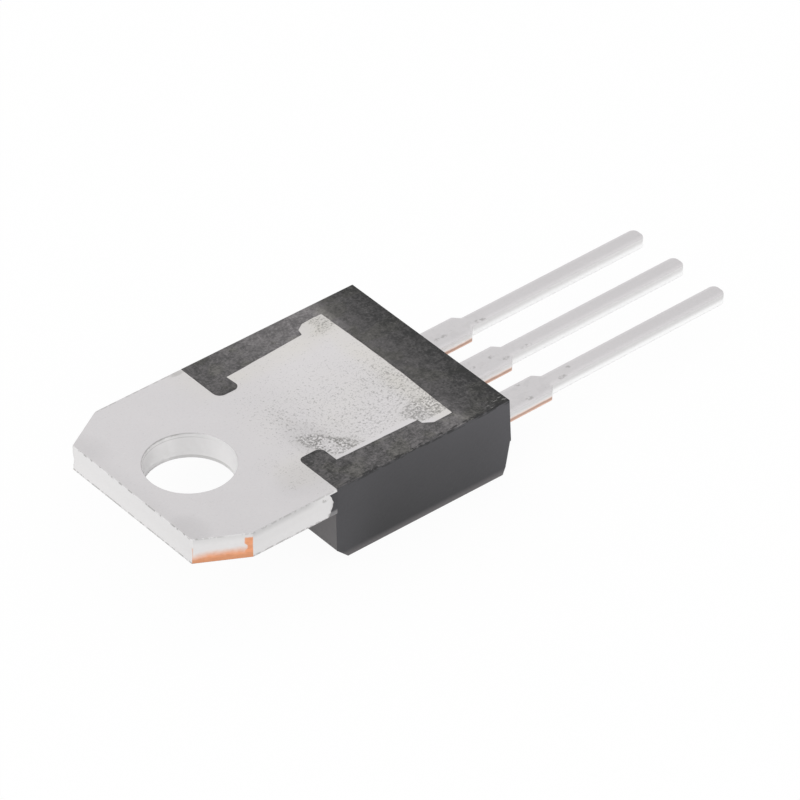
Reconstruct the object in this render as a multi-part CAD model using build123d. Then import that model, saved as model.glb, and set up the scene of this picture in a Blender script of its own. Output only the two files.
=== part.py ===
from build123d import *
import os
from math import atan2, degrees, hypot, radians, tan

# Triac in a tabbed through-hole power package with three leads in line.
# Millimetres. The origin is the centre of the mounting hole, on the bare metal face.
# +X runs along the leads, away from the tab, and +Z points out of the metal face.
# The package lies on the front of its moulded body, so the leads hang above the floor.

# Heatsink plate: the tab, the neck between its two side notches, and the buried plate
plate_thickness = 1.23
tab_end_x = -2.90
tab_half_width = 5.0
corner_cut_x = 2.10
corner_cut_y = 1.19
hole_radius = 1.925
notch_start_x = 3.48
notch_end_x = 4.61
neck_half_width = 2.55
notch_front_radius = 0.35
notch_back_radius = 0.30
plate_half_width = 4.24
plate_end_x = 10.15
plate_corner_radius = 0.12

# Coined lip along each side of the buried plate, where the moulding grips it
lip_inner_y = 3.56
lip_end_x = 8.70
lip_depth = 0.40
lip_round_start_y = 3.88
lip_round_end_x = 9.60

# Shallow recess at the back of each tab side, filled by a skin of moulding flash
flash_depth = 0.12
flash_top_z = -0.16
flash_bottom_z = -1.14
flash_taper_z = 0.06
flash_upper_x = 3.17
flash_middle_x = 3.36
flash_lower_x = 3.10

# Leads
lead_pitch = 2.54
lead_top_z = -2.52
lead_thickness = 0.50
lead_wide = 1.27
lead_narrow = 0.78
shoulder_x = 16.25
lead_end_x = 26.05
lead_tip_radius = 0.30
lead_root_overlap = 0.40
neck_start_x = 10.40
neck_slope_degrees = 60.0
neck_bend_radius = 0.45

# Bond pads at the inner ends of the two outer leads
pad_start_x = 10.70
pad_end_x = 11.90
main_pad_inner_y = 1.30
main_pad_outer_y = 4.20
gate_pad_inner_y = 1.50
gate_pad_outer_y = 3.60
pad_corner_radius = 0.20

# Moulded body
body_front_z = -4.40
body_half_width = 5.0
body_side_draft = 8.17
tab_face_draft = 7.90
tab_face_bevel = 0.67
lead_face_top_x = 12.38
parting_x = 12.75
parting_z = -2.60
lead_face_lower_draft = 3.90
front_bevel_x = 0.10
front_bevel_z = 0.40
front_edge_radius = 0.18

# Chip, its solder and its bond wires, all sealed in the body
die_centre_x = 7.20
die_side = 3.60
die_thickness = 0.28
moat_width = 0.16
moat_depth = 0.07
moat_inset = 0.20
gate_corner_side = 1.10
solder_thickness = 0.06
solder_side = 3.90
solder_corner_radius = 0.30

# Bond wires: each foot is pressed into its seat by wire_sink of its radius
wire_sink = 0.30
wire_rise_run = 0.70
wire_fall_run = 0.35
wire_loop_height = 0.45
main_wire_radius = 0.19
main_foot_length = 0.75
main_wire_start_x = 6.20
inner_wire_chip_y = -0.05
inner_wire_pad_y = 2.10
outer_wire_chip_y = 0.85
outer_wire_pad_y = 3.30
gate_wire_radius = 0.125
gate_foot_length = 0.50
gate_wire_start_x = 7.92
gate_wire_chip_y = -0.92
gate_wire_pad_y = -2.30
wire_end_x = 11.65

plate_back_z = -plate_thickness
lead_bottom_z = lead_top_z - lead_thickness
die_top_z = plate_back_z - solder_thickness
die_face_z = die_top_z - die_thickness


def corners_at(shape, *places):
    """The corners of a flat shape that stand at the given places."""
    return [v for v in shape.vertices() if any(hypot(v.X - x, v.Y - y) < 1e-6 for x, y in places)]


def with_mirror_image(shape):
    """A shape joined to its mirror image on the other side of the package."""
    return shape + mirror(shape, about=Plane.XZ)


def plate_plan():
    """Plan of the tab and the buried plate, with the mounting hole and the rounded notches."""
    half = make_face(
        Polyline(
            (tab_end_x, 0),
            (tab_end_x, tab_half_width - corner_cut_y),
            (tab_end_x + corner_cut_x, tab_half_width),
            (notch_start_x, tab_half_width),
            (notch_start_x, neck_half_width),
            (notch_end_x, neck_half_width),
            (notch_end_x, plate_half_width),
            (plate_end_x, plate_half_width),
            (plate_end_x, 0),
            close=True,
        )
    )
    half = fillet(corners_at(half, (notch_start_x, neck_half_width)), notch_front_radius)
    half = fillet(corners_at(half, (notch_end_x, neck_half_width)), notch_back_radius)
    half = fillet(corners_at(half, (plate_end_x, plate_half_width)), plate_corner_radius)
    return with_mirror_image(half) - Circle(hole_radius)


def coined_lip():
    """The metal pressed down along one side of the buried plate."""
    outline = Polyline(
        (lip_round_end_x, plate_half_width),
        (lip_round_end_x, body_half_width),
        (notch_start_x, body_half_width),
        (notch_start_x, lip_inner_y),
        (lip_end_x, lip_inner_y),
        (lip_end_x, lip_round_start_y),
    )
    outline += EllipticalCenterArc(
        (lip_round_end_x, lip_round_start_y),
        x_radius=lip_round_end_x - lip_end_x,
        y_radius=plate_half_width - lip_round_start_y,
        start_angle=90,
        arc_size=90,
    )
    return extrude(make_face(outline), amount=-lip_depth)


def flash_skin():
    """The sliver of moulding that laps onto one side of the tab, beside the body."""
    upper = (flash_upper_x, flash_top_z - flash_taper_z)
    middle = (flash_middle_x, (flash_top_z + flash_bottom_z) / 2)
    lower = (flash_lower_x, flash_bottom_z + flash_taper_z)
    outline = Polyline(lower, (notch_start_x, flash_bottom_z), (notch_start_x, flash_top_z), upper)
    outline += ThreePointArc(upper, middle, lower)
    tab_side = Plane.XZ.offset(-tab_half_width)
    return extrude(tab_side * make_face(outline), amount=flash_depth)


def flash_skins():
    """The slivers of moulding on both sides of the tab."""
    skin = flash_skin()
    return Compound([skin, mirror(skin, about=Plane.XZ)])


def lead_plan(start_x):
    """Plan of one lead about its own centre line, with its shoulder and rounded tip."""
    wide = lead_wide / 2
    narrow = lead_narrow / 2
    plan = make_face(
        Polyline(
            (start_x, -wide),
            (shoulder_x, -wide),
            (shoulder_x + wide - narrow, -narrow),
            (lead_end_x, -narrow),
            (lead_end_x, narrow),
            (shoulder_x + wide - narrow, narrow),
            (shoulder_x, wide),
            (start_x, wide),
            close=True,
        )
    )
    return fillet(corners_at(plan, (lead_end_x, -narrow), (lead_end_x, narrow)), lead_tip_radius)


def centre_lead():
    """The middle lead: it leaves the plate's back, steps down to the lead plane and runs out."""
    start_x = plate_end_x - lead_root_overlap
    start_z = plate_back_z + lead_thickness / 2
    level_z = lead_top_z - lead_thickness / 2
    slope_run = (start_z - level_z) / tan(radians(neck_slope_degrees))
    route = FilletPolyline(
        (start_x, start_z),
        (neck_start_x, start_z),
        (neck_start_x + slope_run, level_z),
        (lead_end_x, level_z),
        radius=neck_bend_radius,
    )
    side_view = Plane.XZ * trace(route, line_width=lead_thickness)
    strip = extrude(side_view, amount=lead_wide, both=True)
    plan = Pos(0, 0, body_front_z) * lead_plan(start_x)
    return strip & extrude(plan, amount=-body_front_z)


def heatsink_tab():
    """Tab, plate and middle lead, stamped and bent from one strip of copper."""
    plate = extrude(plate_plan(), amount=-plate_thickness)
    plate -= with_mirror_image(coined_lip())
    plate -= flash_skins()
    return plate + centre_lead()


def outer_lead(side, pad_inner_y, pad_outer_y):
    """A lead on one side of the middle one, with its bond pad. side is 1 or -1."""
    pad_centre = Pos((pad_start_x + pad_end_x) / 2, side * (pad_inner_y + pad_outer_y) / 2)
    pad_size = (pad_end_x - pad_start_x, pad_outer_y - pad_inner_y)
    pad = pad_centre * RectangleRounded(*pad_size, pad_corner_radius)
    lead = Pos(0, side * lead_pitch) * lead_plan(pad_end_x - lead_root_overlap)
    return extrude(Pos(0, 0, lead_top_z) * (pad + lead), amount=-lead_thickness)


def die_solder():
    """The solder that holds the chip to the plate."""
    layer = RectangleRounded(solder_side, solder_side, solder_corner_radius)
    return extrude(Pos(die_centre_x, 0, plate_back_z) * layer, amount=-solder_thickness)


def moat(centre, side):
    """Plan of a square moat, its outer edge side long, about a centre in the chip's plane."""
    island_side = side - 2 * moat_width
    return Pos(*centre) * (Rectangle(side, side) - Rectangle(island_side, island_side))


def triac_die():
    """The silicon chip, with the passivation moats etched round its main and gate contacts."""
    chip = Pos(die_centre_x, 0, (die_top_z + die_face_z) / 2) * Box(die_side, die_side, die_thickness)
    main_side = die_side - 2 * moat_inset
    gate_centre = (main_side - gate_corner_side) / 2
    moats = moat((0, 0), main_side) + moat((gate_centre, -gate_centre), gate_corner_side)
    return chip - extrude(Pos(die_centre_x, 0, die_face_z) * moats, amount=moat_depth)


def bond_wire(start, end, radius, foot_length):
    """A wire looped from the chip's face to a lead's pad. start and end are its feet in plan."""
    run = hypot(end[0] - start[0], end[1] - start[1])
    turn = degrees(atan2(end[1] - start[1], end[0] - start[0]))
    centre_height = radius * (1 - wire_sink)
    chip_z = die_face_z - centre_height
    pad_z = lead_bottom_z - centre_height
    loop_z = pad_z - wire_loop_height
    rise_end = foot_length + wire_rise_run
    fall_start = run - foot_length - wire_fall_run
    route = FilletPolyline(
        (0, 0, chip_z),
        (foot_length, 0, chip_z),
        (rise_end, 0, pad_z),
        ((rise_end + fall_start) / 2, 0, loop_z),
        (fall_start, 0, loop_z),
        (run - foot_length, 0, pad_z),
        (run, 0, pad_z),
        radius=2 * radius,
    )
    wire = sweep(Plane(origin=route @ 0, z_dir=route % 0) * Circle(radius), path=route)
    return Pos(start[0], start[1], 0) * Rot(0, 0, turn) * wire


def main_wire(chip_y, pad_y):
    """One of the two heavy wires to the first terminal."""
    start = (main_wire_start_x, chip_y)
    return bond_wire(start, (wire_end_x, pad_y), main_wire_radius, main_foot_length)


def gate_wire():
    """The fine wire to the gate."""
    start = (gate_wire_start_x, gate_wire_chip_y)
    return bond_wire(start, (wire_end_x, gate_wire_pad_y), gate_wire_radius, gate_foot_length)


def body_form():
    """The outside of the moulding: drafted on every side, flat at the front and the back."""
    bevel_z = body_front_z + tab_face_bevel
    tab_face_x = notch_start_x + (plate_back_z - bevel_z) * tan(radians(tab_face_draft))
    lower_z = body_front_z + front_bevel_z
    lower_x = parting_x - (parting_z - lower_z) * tan(radians(lead_face_lower_draft))
    side_view = make_face(
        Polyline(
            (notch_start_x, 0),
            (lead_face_top_x, 0),
            (parting_x, parting_z),
            (lower_x, lower_z),
            (lower_x - front_bevel_x, body_front_z),
            (tab_face_x + tab_face_bevel, body_front_z),
            (tab_face_x, bevel_z),
            (notch_start_x, plate_back_z),
            close=True,
        )
    )
    front_half_width = body_half_width + body_front_z * tan(radians(body_side_draft))
    end_view = make_face(
        Polyline(
            (-body_half_width, 0),
            (-front_half_width, body_front_z),
            (front_half_width, body_front_z),
            (body_half_width, 0),
            close=True,
        )
    )
    front_corners = corners_at(
        end_view, (-front_half_width, body_front_z), (front_half_width, body_front_z)
    )
    end_view = fillet(front_corners, front_edge_radius)
    along_y = extrude(Plane.XZ * side_view, amount=2 * body_half_width, both=True)
    along_x = extrude(Plane.YZ * end_view, amount=2 * parting_x)
    return along_y & along_x


def moulded_body(buried):
    """The moulding, shaped round everything that it holds."""
    body = body_form() + flash_skins()
    for piece in buried:
        body -= piece
    return body


heatsink = heatsink_tab()
terminal_1_lead = outer_lead(1, main_pad_inner_y, main_pad_outer_y)
gate_lead = outer_lead(-1, gate_pad_inner_y, gate_pad_outer_y)
die = triac_die()
bonded = terminal_1_lead + gate_lead + die

parts = {
    "heatsink_tab": heatsink,
    "terminal_1_lead": terminal_1_lead,
    "gate_lead": gate_lead,
    "die_solder": die_solder(),
    "triac_die": die,
    "terminal_1_wire_inner": main_wire(inner_wire_chip_y, inner_wire_pad_y) - bonded,
    "terminal_1_wire_outer": main_wire(outer_wire_chip_y, outer_wire_pad_y) - bonded,
    "gate_wire": gate_wire() - bonded,
}
parts["moulded_body"] = moulded_body(parts.values())

os.makedirs("parts", exist_ok=True)
for name, part in parts.items():
    export_step(part, f"parts/{name}.step")
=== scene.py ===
"""Dresses a tabbed power triac for a close look: tinned copper, black moulding and its stage.

The file is laid out as an add-on. Each piece has an operator, which takes its sizes and colours
from the settings in the sidebar, and main() runs the operators in order.
"""

import math

import bmesh
import bpy
from bpy.props import FloatProperty, FloatVectorProperty, PointerProperty
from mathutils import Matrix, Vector, noise


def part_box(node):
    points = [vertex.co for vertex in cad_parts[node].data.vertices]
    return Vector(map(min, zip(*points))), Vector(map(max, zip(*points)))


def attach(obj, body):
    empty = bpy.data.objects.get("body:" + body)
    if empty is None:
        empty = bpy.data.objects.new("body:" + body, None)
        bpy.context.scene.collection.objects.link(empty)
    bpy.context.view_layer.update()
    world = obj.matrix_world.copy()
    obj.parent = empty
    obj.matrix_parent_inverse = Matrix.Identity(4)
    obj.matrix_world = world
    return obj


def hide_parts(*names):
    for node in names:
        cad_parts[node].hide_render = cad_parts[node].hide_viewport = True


bl_info = {
    "name": "Tabbed Power Triac",
    "version": (1, 0, 0),
    "blender": (4, 5, 0),
    "location": "View3D > Sidebar > Triac",
    "description": "Builds the visible pieces of a tabbed power triac round its packed model",
    "category": "Add Mesh",
}

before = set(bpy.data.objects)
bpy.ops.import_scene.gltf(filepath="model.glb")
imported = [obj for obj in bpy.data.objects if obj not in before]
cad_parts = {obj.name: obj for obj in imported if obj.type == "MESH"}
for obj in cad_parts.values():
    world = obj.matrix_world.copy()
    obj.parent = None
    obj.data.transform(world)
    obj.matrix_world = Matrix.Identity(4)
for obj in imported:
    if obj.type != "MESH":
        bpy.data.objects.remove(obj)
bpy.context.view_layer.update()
plate_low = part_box("heatsink_tab")[0]
body_low, body_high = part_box("moulded_body")
terminal_low, terminal_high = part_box("terminal_1_lead")
gate_low, gate_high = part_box("gate_lead")

MM = 0.001
UP = Vector((0, 0, 1))
BLACK = (0.0, 0.0, 0.0, 1.0)
WHITE = (1.0, 1.0, 1.0, 1.0)

# The longest step of a mesh along an outline, and the distance at which two places are one
SPACING = 0.08 * MM
HAIR = 0.001 * MM


def length(name, description, millimetres):
    """A length that the user can change, shown in the scene's units."""
    return FloatProperty(
        name=name, description=description, default=millimetres * MM, unit="LENGTH", precision=5
    )


def angle(name, description, degrees):
    """An angle that the user can change."""
    return FloatProperty(
        name=name, description=description, default=math.radians(degrees), subtype="ANGLE"
    )


def number(name, description, value):
    """A plain number, of zero or more, that the user can change."""
    return FloatProperty(name=name, description=description, default=value, min=0)


def colour(name, description, rgb):
    """A colour that the user can change, as linear red, green and blue."""
    return FloatVectorProperty(
        name=name, description=description, default=rgb, size=3, subtype="COLOR", min=0, max=1
    )


# Settings ---------------------------------------------------------------------------------


class TabSettings(bpy.types.PropertyGroup):
    """Sizes of the heatsink plate."""

    thickness: length("Thickness", "Thickness of the tab and the buried plate", 1.23)
    half_width: length("Half width", "From the middle line to the side of the tab", 4.998)
    near_cut_x: length("Near cut along", "Length of the near corner cut along the side", 2.14)
    near_cut_y: length("Near cut across", "Length of the near corner cut along the end", 1.19)
    far_cut_x: length("Far cut along", "Length of the far corner cut along the side", 2.00)
    far_cut_y: length("Far cut across", "Length of the far corner cut along the end", 1.16)
    near_cut_radius: length("Near cut radius", "Rounding where the near cut meets the side", 0.08)
    far_cut_radius: length("Far cut radius", "Rounding where the far cut meets the side", 0.45)
    hole_radius: length("Hole radius", "Radius of the mounting hole", 1.925)
    notch_start_x: length("Notch start", "Where the side notches start", 3.467)
    notch_end_x: length("Notch end", "Where the side notches end", 4.60)
    neck_half_width: length("Neck half width", "Half the metal left between the notches", 2.55)
    near_notch_radius: length("Near notch radius", "Rounding of the near notch's tip", 0.22)
    far_notch_radius: length("Far notch radius", "Rounding of the far notch's tip", 0.35)
    notch_back_radius: length("Notch back radius", "Rounding of a notch's lead side tip", 0.30)
    buried_half_width: length("Buried half width", "Half the plate's width below its lips", 4.26)
    plate_end_x: length("Plate end", "Where the buried plate ends", 10.19)
    plate_end_near_y: length("Near end bend", "Where the end first bends, across", -1.0)
    plate_end_far_y: length("Far end bend", "Where the end bends again, across", 1.5)
    plate_end_radius: length("End bend radius", "Rounding of those bends", 0.30)
    lip_depth: length("Lip depth", "How far the lips beside the bare metal are pressed down", 0.40)
    edge_roll: length("Rolled edge", "How far the rolled edge reaches into the face", 0.02)
    roll_depth: length("Roll depth", "How far the rolled edge reaches down", 0.10)
    burnished: length("Burnished", "Depth at which the torn part of a cut face starts", 0.28)
    tear: length("Tear", "How far the torn part of a cut face stands back", 0.03)
    hole_roll: length("Rolled hole edge", "How far the hole's rolled edge reaches in", 0.05)
    hole_roll_depth: length("Hole roll depth", "How far the hole's rolled edge reaches down", 0.15)
    hole_burnished: length("Burnished in hole", "Depth at which its torn part starts", 0.85)
    hole_tear: length("Tear in hole", "How far the torn part of the hole stands back", 0.012)
    hole_shrink: length("Hole shrink", "How far the plating narrows the hole", 0.03)
    metal_drop: length("Metal drop", "How far the bare metal lies below the moulding", 0.004)


class LeadSettings(bpy.types.PropertyGroup):
    """Sizes of the three leads."""

    pitch: length("Pitch", "Distance from one lead to the next", 2.54)
    thickness: length("Thickness", "Thickness of the lead strip", 0.50)
    wide: length("Root width", "Width of a lead between the body and its shoulder", 1.36)
    narrow: length("Pin width", "Width of a lead beyond its shoulder", 0.78)
    shoulder_x: length("Shoulder", "Where the root starts to narrow", 16.185)
    shoulder_radius: length("Shoulder radius", "Rounding of the shoulder's corners", 0.07)
    tip_x: length("Tip", "Where the leads end", 25.995)
    tip_radius: length("Tip radius", "Rounding of a lead's tip in plan", 0.30)
    rise_start_x: length("Rise start", "Where the leads start to rise", 12.75)
    rise: number("Rise", "Slope of the leads beyond the body", 0.0139)
    edge_roll: length("Rolled edge", "Radius of the edge that the die rolled over", 0.09)
    burnished: length("Burnished", "Depth at which the torn part of a cut face starts", 0.26)
    tear: length("Tear", "How far the torn part of a cut face stands back", 0.015)
    pad_end_x: length("Pad end", "Where a bond pad ends inside the body", 11.90)
    pad_corner_radius: length("Pad corner radius", "Rounding of a bond pad's corners", 0.20)
    root_overlap: length("Root overlap", "How far the middle lead reaches into the plate", 0.40)
    neck_start_x: length("Neck start", "Where the middle lead starts to bend down", 10.40)
    neck_radius: length("Neck radius", "Bend radius of the middle lead's neck", 0.45)
    neck_slope: angle("Neck slope", "Slope of the middle lead's neck", 60)


class BodySettings(bpy.types.PropertyGroup):
    """Sizes of the moulding."""

    side_draft: angle("Side draft", "How far the long sides lean in towards the front", 8.35)
    tab_face_draft: angle("Tab face draft", "How far the face under the tab leans in", 7.90)
    tab_face_step: length("Tab face step", "From the tab's end of the back to that face", 0.066)
    tab_face_bevel: length("Tab face bevel", "Bevel between the tab face and the front", 0.67)
    lead_face_top_x: length("Lead face top", "Where the lead face meets the back", 12.38)
    parting_step: length("Parting step", "How far the parting line stands out", 0.07)
    parting_z: length("Parting height", "Height of the parting line of the lead face", -2.60)
    lower_draft: angle("Lower draft", "How far the lead face leans in below that line", 1.60)
    front_bevel_x: length("Front bevel along", "Bevel of the lead face at the front, along X", 0.09)
    front_bevel_z: length("Front bevel height", "Height of that bevel", 0.40)
    long_edge_radius: length("Long edge radius", "Rounding of the front's long edges", 0.07)
    upright_edge_radius: length("Upright edge radius", "Rounding of the lead face's sides", 0.04)
    lower_edge_radius: length("Lower edge radius", "Rounding of those below the parting", 0.15)
    other_edge_radius: length("Other edge radius", "Rounding of all other outer edges", 0.025)
    crease: angle("Crease", "How far faces turn at an edge that stays crisp to the light", 28)
    rim_cover: length("Rim cover", "How far the back's rim reaches over the metal", 0.008)
    rim_waver: length("Rim waver", "How far that rim wavers", 0.012)
    flash_upper_x: length("Flash top", "Where the flash on the tab's side starts, above", 3.08)
    flash_middle_x: length("Flash middle", "Where it starts halfway down", 3.27)
    flash_lower_x: length("Flash bottom", "Where it starts at the bottom", 3.02)
    flash_waver: length("Flash waver", "How far the edge of the flash wavers", 0.06)
    flash_top_z: length("Flash height", "Height of the upper end of the flash", -0.14)
    flash_gap: length("Flash gap", "From the flash to the tab's lower face", 0.01)
    flash_thickness: length("Flash thickness", "Thickness of the skin of flash", 0.10)


class FinishSettings(bpy.types.PropertyGroup):
    """Colours of the finishes, as linear light."""

    tin: colour("Tin", "Satin tin plating on the flat faces", (0.668, 0.650, 0.658))
    sheared_tin: colour("Sheared tin", "Brighter tin on the cut edges", (0.845, 0.835, 0.835))
    # Also the colour of painted shade: the dark lines on the hole's rolled rim and along the foot
    # of the cut faces
    soot_and_shade: colour("Soot", "Dark specks pressed into the plating", (0.104, 0.102, 0.094))
    copper: colour("Copper", "Bare copper where the strip was cut", (0.84, 0.42, 0.24))
    moulding: colour("Moulding", "Drafted faces of the moulding", (0.037, 0.036, 0.040))
    tab_face: colour("Tab face", "Paler face of the moulding under the tab", (0.125, 0.118, 0.120))
    moulding_back: colour("Moulding back", "Eroded texture of the back", (0.018, 0.018, 0.018))
    moulding_grain: colour("Moulding grain", "Pale grains in the texture", (0.108, 0.102, 0.103))
    # Also the colour of the painted reflection of the floor along the low edge of the sides
    moulding_pale: colour("Moulding pale", "Paler strips beside the plate", (0.222, 0.210, 0.213))
    moulding_pit: colour("Moulding pit", "Pits along the back's near edge", (0.008, 0.008, 0.009))
    moulding_chip: colour("Moulding chip", "Fresh chips at a corner", (0.45, 0.44, 0.43))
    solder: colour("Solder", "Die attach solder", (0.50, 0.50, 0.52))
    silicon: colour("Silicon", "Polished silicon", (0.055, 0.060, 0.075))
    aluminium: colour("Aluminium", "Bond wires and contact metal", (0.78, 0.78, 0.79))


class StageSettings(bpy.types.PropertyGroup):
    """The camera, the lamp and the floor."""

    azimuth: angle("Azimuth", "Direction the camera looks from, round the object", -39.108)
    elevation: angle("Elevation", "Height of the camera above the horizon", 38.199)
    pivot_x: length("Pivot along", "Where the camera's pivot lies along the part", 9.0)
    pivot_z: length("Pivot height", "Height of the camera's pivot", -2.0)
    distance: length("Distance", "From the camera to its pivot", 249.3)
    focal_length: number("Focal length", "Focal length in millimetres", 277.11)
    nearest: length("Nearest", "Nearest distance that the camera shows", 10)
    farthest: length("Farthest", "Farthest distance that the camera shows", 20000)
    aim_across: length("Aim across", "How far the aim lies beside the pivot", 1.3824)
    aim_above: length("Aim above", "How far the aim lies above the pivot", 0.5211)
    floor_size: length("Floor size", "Side of the floor", 6000)
    floor_colour: colour("Floor", "Matt colour of the floor", (0.93, 0.93, 0.93))
    floor_glow: number("Floor glow", "How far the floor hides its shadows", 0.95)
    surround: number("Surround", "Strength of the white surround as light", 0.97)
    lamp_place: FloatVectorProperty(
        name="Lamp place",
        description="Where the soft lamp stands, by the tab",
        default=(-0.22, -0.10, 0.16),
        size=3,
        subtype="TRANSLATION",
    )
    lamp_size: length("Lamp size", "Side of the square soft lamp", 220)
    lamp_power: number("Lamp power", "Power of the soft lamp in watts", 0.10)


# Shaders ----------------------------------------------------------------------------------


class Wire:
    """One output of a shader node. Arithmetic on wires adds Math nodes to the same tree."""

    def __init__(self, shader, socket):
        self.shader = shader
        self.socket = socket

    def math(self, operation, *values):
        return self.shader.node("ShaderNodeMath", {"operation": operation}, dict(enumerate(values)))

    def __add__(self, other):
        return self.math("ADD", self, other)

    def __sub__(self, other):
        return self.math("SUBTRACT", self, other)

    def __rsub__(self, other):
        return self.math("SUBTRACT", other, self)

    def __mul__(self, other):
        return self.math("MULTIPLY", self, other)

    def __truediv__(self, other):
        return self.math("DIVIDE", self, other)

    def __neg__(self):
        return self.math("MULTIPLY", self, -1.0)

    def __abs__(self):
        return self.math("ABSOLUTE", self)

    __radd__ = __add__
    __rmul__ = __mul__

    def above(self, low, high):
        """0 up to low, 1 from high on and smooth between them. low may be the larger one."""
        if low > high:
            return 1 - self.above(high, low)
        settings = {"interpolation_type": "SMOOTHSTEP"}
        return self.shader.node("ShaderNodeMapRange", settings, {0: self, 1: low, 2: high})

    def near(self, middle, outer, inner):
        """1 within inner of middle, 0 beyond outer and smooth between them."""
        return abs(self - middle).above(outer, inner)

    def most(self, *others):
        """The largest of this value and the others."""
        largest = self
        for other in others:
            largest = self.math("MAXIMUM", largest, other)
        return largest


class Shader:
    """A node tree under construction."""

    def __init__(self, owner):
        self.owner = owner
        owner.use_nodes = True
        self.tree = owner.node_tree
        self.tree.nodes.clear()

    def node(self, kind, settings=None, sockets=None, output=0):
        """Adds a node: its settings first, then the values or wires of its sockets."""
        made = self.tree.nodes.new(kind)
        for key, value in (settings or {}).items():
            setattr(made, key, value)
        for key, value in (sockets or {}).items():
            if isinstance(value, Wire):
                self.tree.links.new(value.socket, made.inputs[key])
            else:
                made.inputs[key].default_value = value
        return Wire(self, made.outputs[output]) if made.outputs else None

    def split(self, vector):
        """The x, y and z of a vector."""
        first = self.node("ShaderNodeSeparateXYZ", None, {0: vector})
        return [Wire(self, output) for output in first.socket.node.outputs]

    def scaled(self, vector, factors):
        """A vector or a colour with its parts multiplied."""
        settings = {"operation": "MULTIPLY"}
        return self.node("ShaderNodeVectorMath", settings, {0: vector, 1: factors})

    def mix(self, factor, first, second):
        """The first colour where factor is 0 and the second where it is 1."""
        settings = {"data_type": "RGBA"}
        return self.node("ShaderNodeMix", settings, {0: factor, 6: first, 7: second}, output=2)

    def seen_directly(self):
        """1 for rays from the camera, in a mirror or through glass, and 0 for the rest."""
        rays = ("Is Camera Ray", "Is Glossy Ray", "Is Transmission Ray")
        camera, *others = [self.node("ShaderNodeLightPath", output=ray) for ray in rays]
        return camera.most(*others)


class Skin(Shader):
    """The shader of a piece's new material, with the place and the direction of each spot.

    place, x, y, z and the depth below the metal face are in millimetres in the part's own frame.
    nx, ny and nz are the direction that the surface faces, before any bump.
    """

    def __init__(self, name):
        super().__init__(bpy.data.materials.new(name))
        metres = self.node("ShaderNodeTexCoord", output="Object")
        self.place = self.scaled(metres, (1 / MM, 1 / MM, 1 / MM))
        self.x, self.y, self.z = self.split(self.place)
        self.depth = -self.z
        self.nx, self.ny, self.nz = self.split(self.node("ShaderNodeNewGeometry", output="Normal"))

    def noise(self, per_mm, detail, roughness, stretch=None):
        """Fractal noise about 0.5, with per_mm features in each millimetre, times the stretch."""
        place = self.scaled(self.place, stretch) if stretch else self.place
        sockets = {"Vector": place, "Scale": per_mm, "Detail": detail, "Roughness": roughness}
        return self.node("ShaderNodeTexNoise", None, sockets)

    def patch(self, centre, radii, turn=0.0):
        """1 in the middle of an ellipse on the XY plane, fading to 0 outside it."""
        cos, sin = math.cos(turn), math.sin(turn)
        across = ((self.x - centre[0]) * cos + (self.y - centre[1]) * sin) / radii[0]
        beside = ((self.y - centre[1]) * cos - (self.x - centre[0]) * sin) / radii[1]
        return (across * across + beside * beside).above(2.2, 0.1)

    def wall(self, flat, upright):
        """1 on upright faces and 0 on flat ones, by how far they face up or down."""
        return abs(self.nz).above(flat, upright)

    def bump(self, height, depth):
        """A normal that shows height, from 0 to 1, as a relief that is depth millimetres deep."""
        return self.node("ShaderNodeBump", None, {"Height": height, "Distance": depth * MM})

    def finished(self, **sockets):
        """Ends the material in a Principled shader. Underscores stand for spaces in its sockets."""
        named = {key.replace("_", " "): value for key, value in sockets.items()}
        shader = self.node("ShaderNodeBsdfPrincipled", None, named)
        self.node("ShaderNodeOutputMaterial", None, {"Surface": shader})
        return self.owner


def rgba(rgb, factor=1.0):
    """A colour for a colour socket, made lighter or darker by a factor."""
    return (*(part * factor for part in rgb), 1.0)


# Wear -------------------------------------------------------------------------------------


# Patches of thick specks on the metal: centre and radii in mm, turn in radians, how thick
SPECK_PATCHES = (
    ((4.85, -2.38), (1.05, 0.45), -0.94, 0.48),
    ((5.35, -2.95), (0.80, 0.45), -0.60, 0.34),
    ((6.50, -2.30), (1.80, 0.90), -0.20, 0.08),
    ((9.35, -3.25), (0.85, 0.60), 0.00, 0.34),
    ((9.70, -1.50), (0.60, 2.20), 0.00, 0.08),
    ((9.60, 3.75), (0.75, 0.60), 0.00, 0.50),
    ((2.30, -2.30), (0.45, 0.60), 0.00, 0.18),
    ((2.30, -3.75), (0.45, 0.22), 0.00, 0.30),
    ((2.90, -3.20), (0.70, 0.60), 0.00, 0.14),
    ((4.50, 0.20), (0.45, 0.90), 0.00, 0.12),
)

# Darker stains on the metal: centre and radii in mm, how dark
STAINS = (
    ((2.9, -3.7), (1.1, 0.9), 0.045),
    ((-2.5, -3.3), (0.6, 0.8), 0.06),
    ((-2.4, 3.2), (0.5, 0.8), 0.03),
    ((4.6, -1.8), (0.7, 1.2), 0.06),
    ((9.4, 3.8), (0.8, 0.6), 0.05),
)

# Patches of small pits on the leads: centre and radii in mm
LEAD_PITS = (
    ((16.83, 2.28), (0.16, 0.09)),
    ((17.10, 2.23), (0.12, 0.08)),
    ((15.10, 2.39), (0.14, 0.10)),
    ((14.72, 2.41), (0.14, 0.08)),
    ((15.70, 0.07), (0.12, 0.10)),
    ((16.09, -0.35), (0.20, 0.10)),
    ((17.28, -0.29), (0.24, 0.09)),
    ((14.66, 0.02), (0.12, 0.08)),
    ((17.66, -2.46), (0.12, 0.08)),
    ((17.09, -2.81), (0.20, 0.10)),
    ((15.32, -2.04), (0.12, 0.08)),
    ((15.18, -3.00), (0.20, 0.11)),
)


# Finishes ---------------------------------------------------------------------------------


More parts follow.
